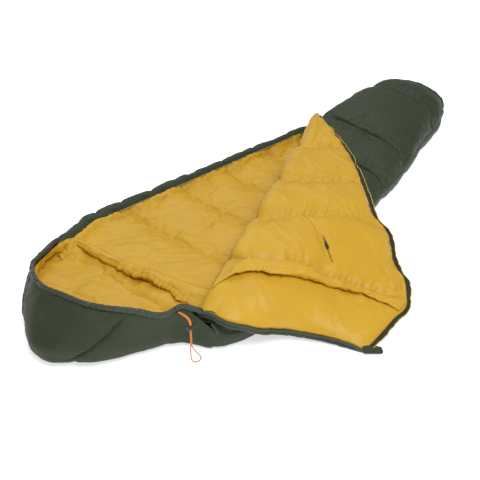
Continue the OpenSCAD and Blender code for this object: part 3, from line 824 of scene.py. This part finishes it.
def flap_plan(w, v):
    """Plan point of the flap at row w, from the ridge at v 0 to the free edge at v 1."""
    w, v = np.broadcast_arrays(np.asarray(w, float), np.asarray(v, float))
    a = fold_point(ridge_t(w), RIDGE_R * (1 - 0.6 * smooth(5.2, 6, w)))
    p = mix(a, flap_edge(w), v[..., None])
    straight = mix(fold_point(ridge_t(0.0), RIDGE_R), flap_edge(0.0), v[..., None])
    return p + (neck_edge(v)[..., :2] - straight) * np.exp(-w / 0.35)[..., None]


def flap_under(w, v, p):
    return mix(underside_z(p[..., 0] - half_width(p[..., 1])), neck_edge(v)[..., 2], np.exp(-w / 0.3))


def flap_thickness(w, v):
    """Quilted thickness: full in the panels, thin at the seams and towards the free edges."""
    w, v = np.broadcast_arrays(np.asarray(w, float), np.asarray(v, float))
    f = np.clip(w, 0, 5.999) % 1
    span = np.where(w < 1, w / 2, np.where(w < 2, w / 2, f))
    puff = 1 - np.abs(2 * span - 1) ** 3.5
    edge = 1 - (1 - np.clip((1 - v) / 0.1, 0, 1)) ** 2
    return (0.012 + 0.016 * puff) * (0.3 + 0.7 * edge)


def make_flap():
    w = np.concatenate([np.linspace(k, k + 1, n, endpoint=False) for k, n in
                        ((0, 26), (1, 20), (2, 52), (3, 58), (4, 60), (5, 62))] + [[6.0]])
    v = np.linspace(0, 1, 130)
    W, V = np.meshgrid(w, v, indexing="ij")
    plan = flap_plan(W, V)
    under = flap_under(W, V, plan)
    base = np.concatenate([plan, under[..., None]], -1)
    thick = flap_thickness(W, V)
    top = base.copy()
    top[..., 2] += thick
    along = lengths(top, 1)
    across = lengths(top, 0)
    h = np.zeros(W.shape)
    for seed, row in enumerate((2, 3, 4, 5)):
        start = np.array([np.interp(row, w, across[:, j]) for j in range(len(v))])
        d = across - start[None]
        wander = 0.004 * noise(along / 0.07, row, 140)
        h += seam_relief(d + wander, along, seed + 150, groove=0.004, pinch=0.005, pucker=0.0075, reach=0.022,
                         spacing=0.019)
    h += drape(top, 160, 0.0034, 0.15, -0.4) + 0.0045 * noise(plan[..., 0] / 0.11, plan[..., 1] / 0.13, 161)
    h += 0.002 * noise(plan[..., 0] / 0.045, plan[..., 1] / 0.05, 163)
    h *= smooth(0, 0.012, along[:, -1:] - along)
    top[..., 2] += h
    # The lining lies flat along the pocket's zip
    side = np.array([POCKET_RUN[1], -POCKET_RUN[0]]) / np.linalg.norm(POCKET_RUN[:2])
    rel = plan - POCKET_START[:2]
    t = (rel @ POCKET_RUN[:2]) / (POCKET_RUN[:2] @ POCKET_RUN[:2])
    beyond = np.maximum(np.abs(t - 0.5) - 0.5, 0) * np.linalg.norm(POCKET_RUN[:2])
    near_zip = np.exp(-((rel @ side) ** 2 + beyond ** 2) / 0.022 ** 2)
    line_z = POCKET_START[2] + POCKET_RUN[2] * np.clip(t, 0, 1) - 0.0034
    sewn = (np.abs(W[..., None] - [2, 3, 4, 5]).min(-1) < 0.012) | (near_zip > 0.6)
    blown = puffed(top, sewn, -1, free_start=True)
    top = mix(top, blown, (1 - 0.75 * smooth(2.0, 1.2, W))[..., None])
    top[..., 2] = np.maximum(mix(top[..., 2], line_z, near_zip), base[..., 2] + 0.0045)
    lining = cloth_piece("flap_lining_cloth", top, side=-1)
    finish_piece(lining, lining_cloth, "flap", ["flap_lining", "flap_fill"])
    bottom = base.copy()
    bottom[..., 2] += 0.0015 + 0.002 * noise(plan[..., 0] / 0.08, plan[..., 1] / 0.08, 162)
    shell = cloth_piece("flap_shell_cloth", bottom, side=1)
    finish_piece(shell, shell_cloth, "flap", ["flap_shell"])
    return w, top


flap_rows, flap_top = make_flap()


def flap_surface(w, v, lift=0.0):
    """Point on the flap's lining, found between the rows of its mesh."""
    w, v = np.broadcast_arrays(np.asarray(w, float), np.asarray(v, float))
    fi = np.interp(w, flap_rows, np.arange(len(flap_rows)))
    fj = v * (flap_top.shape[1] - 1)
    p = sample(flap_top, fi, fj)
    p[..., 2] += lift
    return p


def make_fold_rolls():
    """Cloth that turns over the fold: lining outside and shell inside."""
    rows = np.linspace(0, 6, 220)
    t = ridge_t(rows)
    narrow = 1 - 0.6 * smooth(5.2, 6, rows)
    start = flap_surface(rows, 0.0, 0.0006)
    under = flap_surface(rows, 0.05, -0.003)
    for name, centre_r, radius, look, slot, top_z, low_z, side in (
            ("fold_lining", 0.043, 0.027, lining_cloth, "lining_cloth", None, 0.089, 1),
            ("fold_shell", 0.036, 0.0065, shell_cloth, "shell_cloth", 0.1265, 0.1125, -1)):
        sections = []
        for k, row in enumerate(rows):
            z_top = start[k, 2] if top_z is None else top_z
            mid, half = (z_top + low_z) / 2, (z_top - low_z) / 2
            a = np.radians([102, 120, 140, 160, 180, 200, 220, 240, 258])
            r = np.concatenate([[RIDGE_R], centre_r + radius * np.cos(a),
                                [(RIDGE_R + centre_r) / 2, RIDGE_R]]) * narrow[k]
            z = np.concatenate([[z_top], mid + half * np.sin(a), [low_z, low_z]])
            q = np.column_stack([fold_point(np.full(len(r), t[k]), r), z])
            if top_z is None:
                q = np.concatenate([[under[k], start[k]], q[1:]])
            run = np.concatenate([[0], np.cumsum(np.linalg.norm(np.diff(q, axis=0), axis=1))])
            sections.append(curve(np.column_stack([run, q]))(np.linspace(0, run[-1], 28)))
        p = np.array(sections)
        if side > 0:
            ring = lengths(p, 1)
            away = np.sin(np.linspace(0, math.pi, p.shape[1]))[None]
            h = np.zeros(p.shape[:2])
            along = lengths(p, 0)
            for seed, row in enumerate((2, 3, 4, 5)):
                d = along - np.interp(row, rows, along[:, 8])
                h += seam_relief(d, ring, seed + 170, groove=0.004, pinch=0.006, pucker=0.003, reach=0.025)
            h += 0.002 * noise(along / 0.06, ring / 0.04, 175)
            p = raised(p, h * away, 1)
        pieces = [(name, p, look, slot)]
        if side > 0:
            s = np.linspace(0, 1, 6)[None, :, None]
            end = mix(p[0, 4:, None], p[0, 4:].mean(0), s) + [0, 0.002, 0]
            pieces.append(("fold_end_facing", end, hem_cloth, "shell_cloth"))
        for piece, grid, cloth, place in pieces:
            obj = applied(cloth_piece(piece, grid, side=side))
            finish_piece(obj, cloth, body=None)
            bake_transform(obj)


make_fold_rolls()

# ---------- draft collars ----------

back_collar_seam = curve([(-0.352, -0.708), (-0.273, -0.698), (-0.15, -0.688), (-0.043, -0.662),
                          (0.073, -0.645),
                          (0.152, -0.622), (0.26, -0.60)])
back_collar_edge = curve([(-0.352, -0.742), (-0.263, -0.736), (-0.141, -0.736), (-0.073, -0.732),
                          (0.0, -0.716),
                          (0.084, -0.714), (0.167, -0.716), (0.26, -0.71)])
back_floor_z = curve([(-0.352, 0.062), (-0.32, 0.050), (-0.27, 0.041), (-0.2, 0.036), (0.0, 0.031),
                      (0.26, 0.031)])
back_collar_rise = curve([(-0.352, 0.007), (-0.3, 0.020), (-0.15, 0.030), (0.0, 0.033), (0.26, 0.034)])


def collar_profile(q):
    """Share of the way to the free edge, and height as a share of the puff, for q past 1 turned under."""
    out = np.where(q < 1, q, 1 - (q - 1) * 0.9)
    height = curve([(0, 0.0), (0.12, 0.5), (0.35, 0.95), (0.65, 1.0), (0.85, 0.86), (1.0, 0.62), (1.08, 0.36),
                    (1.3, 0.22), (1.5, 0.2)])(q)
    return out, height


def make_back_collar():
    x, q = np.meshgrid(np.linspace(-0.352, 0.255, 300), np.linspace(0, 1.5, 60), indexing="ij")
    out, height = collar_profile(q)
    strong = mix(0.35, 1.0, smooth(-0.24, -0.06, x))
    wave = noise(x / 0.034, 0, 200) + 0.5 * noise(x / 0.014, 0, 201)
    lift = noise(x / 0.05, 0, 202)
    free = smooth(0.3, 1.0, q)
    y = mix(back_collar_seam(x), back_collar_edge(x) - 0.009 * strong * wave * free, out)
    z = back_floor_z(x) + back_collar_rise(x) * height * (1 + 0.25 * strong * lift * free)
    p = np.stack([x, y, z], -1)
    gather = creases(x / 0.017 + 0.3 * noise(x / 0.05, q * 2, 203), q / 3, 204) - 0.3
    pucker = creases(x / 0.013, q * 0.8, 205) - 0.3
    h = 0.0042 * strong * gather * smooth(0.45, 0.95, q) + 0.0028 * pucker * (1 - smooth(0.02, 0.3, q))
    h += drape(p, 206, 0.0022, 0.07, 0.2)
    line = (q - 0.8) / 0.03
    h -= 0.0014 * np.exp(-line ** 2)
    p = raised(p, h, -1)
    obj = cloth_piece("back_collar_cloth", p, side=-1)
    finish_piece(obj, lining_cloth,
                 replaces=["back_collar_cover", "back_collar_fill", "back_collar_elastic"])
    thread = stitches("back_collar_thread", raised(p, np.full(h.shape, 0.0004), -1)[:, 32],
                      -normals(p)[:, 32])
    finish_piece(thread, thread_gold)


make_back_collar()

collar_free_row = curve([(-0.09, 0.55), (-0.04, 0.75), (0.02, 0.97), (0.15, 1.12), (0.28, 1.12), (0.41, 1.38),
                         (0.58, 1.68), (0.71, 1.62), (0.84, 1.42), (1.0, 1.2)])


def over_fold(w, v, lift=0.0):
    """Point on the flap's lining, carried on past the ridge onto the fold roll for v under 0."""
    w, v = np.broadcast_arrays(np.asarray(w, float), np.asarray(v, float))
    p = flap_surface(w, np.clip(v, 0, 1))
    r = RIDGE_R + np.minimum(v, 0) * 0.48
    past = v < 0
    top = flap_surface(w, 0 * v)[..., 2]
    mid, half = (top + 0.089) / 2, (top - 0.089) / 2
    bend = np.clip((0.043 - r) / 0.027, 0, 1)
    p[..., :2] = np.where(past[..., None], fold_point(ridge_t(w), r), p[..., :2])
    p[..., 2] = np.where(past, mid + half * np.sqrt(1 - bend ** 2), p[..., 2]) + lift
    return p


def make_front_collar():
    v, q = np.meshgrid(np.linspace(-0.09, 0.985, 330), np.linspace(0, 1.5, 60), indexing="ij")
    out, height = collar_profile(q)
    free = smooth(0.3, 1.0, q)
    wave = 0.11 * noise(v / 0.11, 0, 210) + 0.05 * noise(v / 0.04, 0, 211)
    row = mix(2.0, collar_free_row(v) + wave * free, out)
    size = 0.020 * smooth(-0.09, 0.05, v) * (1 - 0.75 * smooth(0.55, 1.0, v)) + 0.004
    opening = 1 + 0.9 * np.exp(-((v - 0.42) / 0.06) ** 2) * free + 0.3 * noise(v / 0.09, 0, 212) * free
    p = over_fold(row, v)
    p[..., 2] += 0.0015 + size * height * opening
    gather = creases(v / 0.03 + 0.3 * noise(v / 0.1, q * 2, 213), q / 3, 214) - 0.3
    pucker = creases(v / 0.028, q * 0.8, 215) - 0.3
    h = 0.0026 * gather * smooth(0.5, 0.95, q) + 0.0030 * pucker * (1 - smooth(0.02, 0.35, q))
    h += 0.0012 * noise(v / 0.05, q / 0.3, 216)
    h -= 0.0014 * np.exp(-((q - 0.8) / 0.03) ** 2)
    p = raised(p, h, -1)
    obj = cloth_piece("front_collar_cloth", p, side=-1)
    finish_piece(obj, lining_cloth, "flap",
                 ["front_collar_cover", "front_collar_fill", "front_collar_elastic"])
    thread = stitches("front_collar_thread", raised(p, np.full(h.shape, 0.0004), -1)[:, 32],
                      -normals(p)[:, 32])
    finish_piece(thread, thread_gold, "flap")


make_front_collar()

# ---------- hems ----------


def make_hood_hem():
    bearing = np.linspace(-2, 178, 420)
    gather = 0.0016 * noise(bearing / 3.2, 0, 220) + 0.001 * noise(bearing / 1.4, 0, 221)
    rim = hood_point(bearing, hood_rim(bearing) + 0.002 + gather, hood_rim_z(bearing) + 0.005 + gather)
    hem = tube("hood_hem_channel", rim, 0.0073 * (1 + 0.1 * noise(bearing / 1.1, 0, 222)), 14, flat=1.15)
    finish_piece(hem, hem_cloth, replaces=["hood_hem", "hood_drawcord"])


def make_neck_hem():
    """Bound edge of the flap at the neck: two sewn rolls, one over the other."""
    v = np.concatenate([[-0.124, -0.124, -0.124], np.linspace(-0.123, 1.0, 280)])
    edge = over_fold(np.zeros(len(v)), v)
    edge[:3, 2] = 0.085, 0.098, 0.110
    out = np.array([0.35, -0.94, 0]) * 0.004
    rolls = []
    for k, (drop, r) in enumerate(((0.003, 0.0046), (0.0125, 0.005))):
        path = edge + out - np.array([0, 0, drop])
        path[:, 2] = np.maximum(path[:, 2] + 0.0012 * noise(v / 0.04, k, 230), r + 0.0006)
        rolls.append(tube(f"roll_{k}", path, r * (1 + 0.1 * noise(v / 0.015, k, 231)), 12))
    finish_piece(joined("neck_hem_binding", rolls), hem_cloth, "flap", ["neck_hem"])


def make_cover_facing():
    """Closes the front panel's neck end between its shell and its lining."""
    y = np.array([-0.775])
    shell = front_section(y, np.linspace(0, 1, 60))[0]
    inner = front_section(y, np.linspace(0, 1, 60), inner=True)[0] + np.array([0, 0.01, 0])
    s = np.linspace(0, 1, 9)[None, :, None]
    p = mix(shell[:, None], inner[:, None], s)
    p[..., 1] -= 0.009 * np.sin(math.pi * s[..., 0])
    finish_piece(cloth_piece("cover_neck_binding", p), hem_cloth)


make_hood_hem()
make_neck_hem()
make_cover_facing()

# ---------- zips ----------


def make_flap_zip():
    w = np.concatenate([np.linspace(0.05, 3, 260), np.linspace(3, 5.98, 260)[1:], np.full(24, 5.985)])
    edge = flap_surface(w, np.concatenate([np.ones(len(w) - 24), np.linspace(0.96, 0.04, 24)]))
    t = np.gradient(edge[:, :2], axis=0)
    t /= np.linalg.norm(t, axis=1, keepdims=True)
    out = np.column_stack([t[:, 1], -t[:, 0], np.zeros(len(w))])
    run = np.concatenate([[0], np.cumsum(np.linalg.norm(np.diff(edge, axis=0), axis=1))])
    wave = 0.003 * noise(run / 0.035, 0, 240) + 0.0015 * noise(run / 0.014, 0, 241)
    lift = np.column_stack([0 * w, 0 * w, -0.002 + 0.5 * wave])
    middle = edge + out * (0.0055 + 0.5 * wave[:, None]) + lift
    tape = ribbon("flap_tape", middle, out, 0.017, 0.0012)
    finish_piece(tape, black_tape, "flap", ["flap_zip_tape"])
    line = edge + out * (0.0142 + wave[:, None]) + lift + np.array([0, 0, 0.001])
    coil = tube("flap_coil", line, 0.0016 * (1 + 0.12 * np.sin(run / 0.0008)), 8)
    finish_piece(coil, coil_nylon, "flap", ["flap_zip_coil"])
    under = edge + out * 0.002 - np.array([0, 0, 0.0052])
    under[:, 2] = np.maximum(under[:, 2], 0.0048)
    roll = tube("flap_edge_roll", under, 0.0042 * (1 + 0.15 * noise(run / 0.03, 0, 242)), 10)
    finish_piece(roll, shell_cloth, "flap")


def make_back_zip():
    y = np.linspace(-0.735, ZIP_END, 300)
    tape_path = np.column_stack([zip_x(y) - 0.0062, y, np.full(len(y), ZIP_Z - 0.0012)])
    tape = ribbon("back_tape", tape_path, np.tile([1.0, 0, 0.06], (len(y), 1)), 0.0115, 0.001)
    finish_piece(tape, black_tape, replaces=["back_zip_tape"])
    coil_path = np.column_stack([zip_x(y), y, np.full(len(y), ZIP_Z - 0.0014)])
    coil = tube("back_coil", coil_path, 0.0013, 8)
    finish_piece(coil, coil_nylon, replaces=["back_zip_coil"])


def make_foot_zip():
    y = np.linspace(ZIP_END, 0.905, 120)
    face = end_slant(np.column_stack([far_x(y) - 0.0052, y, np.full(len(y), ZIP_Z - 0.004)]))
    tape = ribbon("foot_tape", face, np.tile([0.0, 0, 1.0], (len(y), 1)), 0.022, 0.001)
    finish_piece(tape, black_tape, replaces=["foot_zip_tape"])
    coil = tube("foot_coil", face - np.array([0.0016, 0, 0]), 0.0018, 8, flat=1.5)
    finish_piece(coil, coil_nylon, replaces=["foot_zip_coil"])


make_flap_zip()
make_back_zip()
make_foot_zip()

# ---------- pocket, tab, label ----------


def make_pocket():
    """Stitched outline of the pocket bag on the flap's lining, with its zip along one side."""
    corners = [(2.96, 0.47), (2.93, 0.60), (2.12, 0.64), (2.10, 0.50)]
    rows = []
    for a, b in zip(corners, corners[1:] + corners[:1]):
        s = np.linspace(0, 1, 40, endpoint=False)
        rows.append(flap_surface(mix(a[0], b[0], s), mix(a[1], b[1], s), 0.0006))
    path = np.concatenate(rows)
    thread = stitches("pocket_stitching", path, np.tile([0.0, 0, 1.0], (len(path), 1)))
    finish_piece(thread, thread_gold, "flap", ["pocket_bag"])
    length = np.linalg.norm(POCKET_RUN)
    run = POCKET_RUN / length
    side = np.array([run[1], -run[0], 0]) / math.hypot(run[0], run[1])
    up = np.cross(side, run) * (1 if np.cross(side, run)[2] > 0 else -1)
    t = np.linspace(-0.08, 1.08, 60)
    middle = POCKET_START + POCKET_RUN * t[:, None]
    close = 0.0032 * smooth(1.08, 1.0, t) * smooth(-0.08, 0.0, t)
    lips = []
    for k in (-1, 1):
        path = middle + side * (k * (0.0022 + close))[:, None] - up * 0.0022
        lips.append(tube(f"lip_{k}", path, 0.0026 * (1 + 0.1 * noise(t * 14, k, 232)), 10, flat=0.7, up=up))
    finish_piece(joined("pocket_welt", lips), lining_cloth, "flap")
    inside = t[(t >= 0) & (t <= 1)]
    tape = ribbon("pocket_tape", POCKET_START + POCKET_RUN * inside[:, None] - up * 0.0028,
                  np.tile(side, (len(inside), 1)),
                  0.0062)
    finish_piece(tape, black_tape, "flap", ["pocket_zip_tape"])
    coil = tube("pocket_coil", POCKET_START + POCKET_RUN * inside[:, None] - up * 0.0012, 0.0010, 8)
    finish_piece(coil, black_tape, "flap", ["pocket_zip_coil"])


def make_tab():
    """Hook tab at the flap's corner, which closes over the zip."""
    u, v = np.meshgrid(np.linspace(0, 1, 26), np.linspace(0, 1, 12), indexing="ij")
    start, tip = np.array([0.652, -0.520]), np.array([0.703, -0.470])
    run = (tip - start) / np.linalg.norm(tip - start)
    side = np.array([run[1], -run[0]])
    width = 0.030 * (1 - 0.45 * smooth(0.6, 1.0, u) * (1 - np.sqrt(np.clip(1 - (2 * u - 1) ** 4, 0, 1))))
    plan = start + (u[..., None] * 0.056) * run + side * ((v - 0.5) * width)[..., None]
    z = 0.0125 - 0.006 * u + 0.003 * noise(u * 2.2, v, 250)
    finish_piece(cloth_piece("hook_tab_cloth", np.concatenate([plan, z[..., None]], -1), 0.002, side=1),
                 shell_cloth,
                 "flap", ["hook_tab"])


def on_shell(rows, start, stop, count, lift=0.0012):
    """Patch of the back shell's surface between two distances down from its rim, a little outside it."""
    p = raised(back_grid, np.full(back_grid.shape[:2], lift), -1)[rows]
    down = lengths(p, 1)
    at = np.linspace(start, stop, count)
    return np.array([[[np.interp(x, d, q[:, k]) for k in range(3)] for x in at] for d, q in zip(down, p)])


def make_label():
    """Plain sewn-in label on the outer face of the far roll."""
    rows = np.where((back_grid[:, 10, 1] < -0.69) & (back_grid[:, 10, 1] > -0.737)
                    & (back_grid[:, 10, 0] < -0.2))[0]
    label = on_shell(rows, 0.030, 0.074, 12)
    finish_piece(cloth_piece("side_label_cloth", label, 0.0008, side=-1), label_cloth,
                 replaces=["side_label"])


def make_landing_patch():
    """Loop patch on the hood where the tab lands."""
    bearing = bearing_of(back_grid[:, 10])
    rows = np.where((bearing > 144) & (bearing < 156) & (back_grid[:, 10, 1] < -0.8))[0]
    finish_piece(cloth_piece("landing_patch_cloth", on_shell(rows, 0.02, 0.05, 10), 0.0012, side=-1),
                 black_tape,
                 replaces=["tab_landing_patch"])


make_pocket()
make_tab()
make_label()
make_landing_patch()

# ---------- lights, floor and world ----------


def make_studio():
    floor = mesh_object("floor", [(-30, -30, -0.0015), (30, -30, -0.0015),
                                  (30, 30, -0.0015), (-30, 30, -0.0015)],
                        [[0, 1, 2, 3]])
    m = bpy.data.materials.new("floor")
    m.use_nodes = True
    shader = m.node_tree.nodes["Principled BSDF"]
    shader.inputs["Base Color"].default_value = (0.8, 0.8, 0.8, 1)
    shader.inputs["Roughness"].default_value = 0.9
    shader.inputs["Specular IOR Level"].default_value = 0.1
    shader.inputs["Emission Color"].default_value = (1, 1, 1, 1)
    shader.inputs["Emission Strength"].default_value = 0.62
    floor.data.materials.append(m)
    world = bpy.data.worlds.new("studio")
    world.use_nodes = True
    world.node_tree.nodes["Background"].inputs["Color"].default_value = (1, 1, 1, 1)
    world.node_tree.nodes["Background"].inputs["Strength"].default_value = 0.36
    scene.world = world
    for name, place, size, power in (("key", (1.7, -1.1, 3.0), 1.8, 84), ("fill", (-1.9, 1.0, 3.0), 2.4, 44)):
        data = bpy.data.lights.new(name, "AREA")
        data.size = size
        data.energy = power
        light = bpy.data.objects.new(name, data)
        light.location = place
        light.rotation_euler = (Vector((0.1, -0.1, 0.0)) - Vector(place)).to_track_quat("-Z", "Y").to_euler()
        scene.collection.objects.link(light)
    scene.view_settings.view_transform = "Standard"


make_studio()

# ---------- looks of the CAD nodes that show ----------

CAD_LOOKS = {"lock_barrel": black_plastic, "lock_plunger": black_plastic, "lock_spring": zip_metal,
             "hood_eyelet": zip_metal, "zip_slider": zip_metal, "zip_puller": zip_metal,
             "zip_bottom_stop": zip_metal,
             "pocket_slider": zip_metal, "pocket_puller": black_plastic, "hang_loops": black_tape}
for node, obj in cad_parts.items():
    look = CAD_LOOKS.get(node, black_tape)
    obj.data.materials.clear()
    obj.data.materials.append(look)
